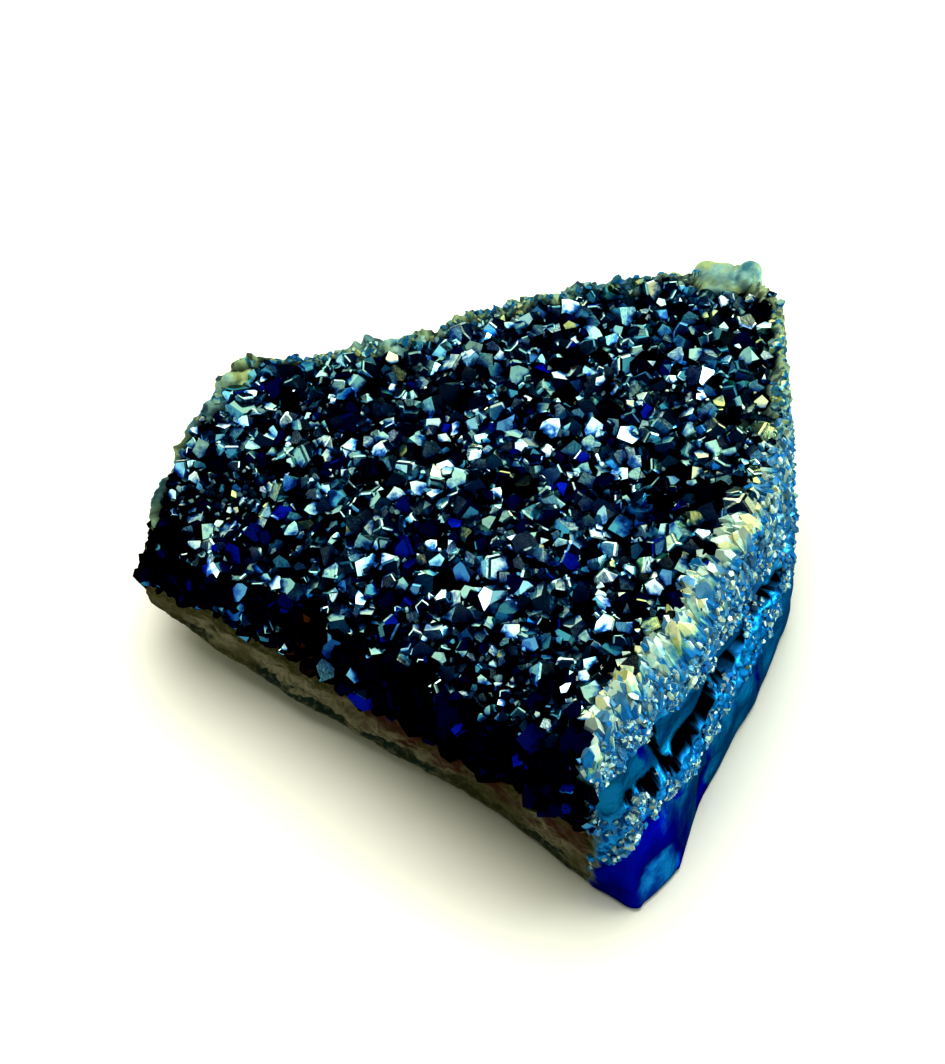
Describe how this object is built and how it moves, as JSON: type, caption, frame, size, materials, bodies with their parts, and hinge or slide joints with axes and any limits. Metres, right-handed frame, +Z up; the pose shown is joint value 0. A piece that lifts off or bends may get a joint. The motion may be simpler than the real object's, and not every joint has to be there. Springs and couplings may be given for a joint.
{
  "type": "aura agate specimen",
  "caption": "Broken slab of druzy agate with a domed crust of quartz points on top, a banded broken side with rows of crystal columns, and a rind below that is flat where it rests.",
  "frame": {"origin": "on the resting plane, under the middle of the stone's box", "axes": "+Z up out of the crystal crust, +X across the stone towards its banded broken side, -Y towards its thick broken corner"},
  "size_m": [0.0762, 0.0736, 0.0276],
  "materials": {
    "coated_agate": "metal-vapour coated quartz, dark blue to teal and grey-green with straw-coloured patches, over an uncoated brown and grey rind"
  },
  "bodies": {
    "root": {"druzy_agate": "coated_agate"}
  },
  "joints": []
}
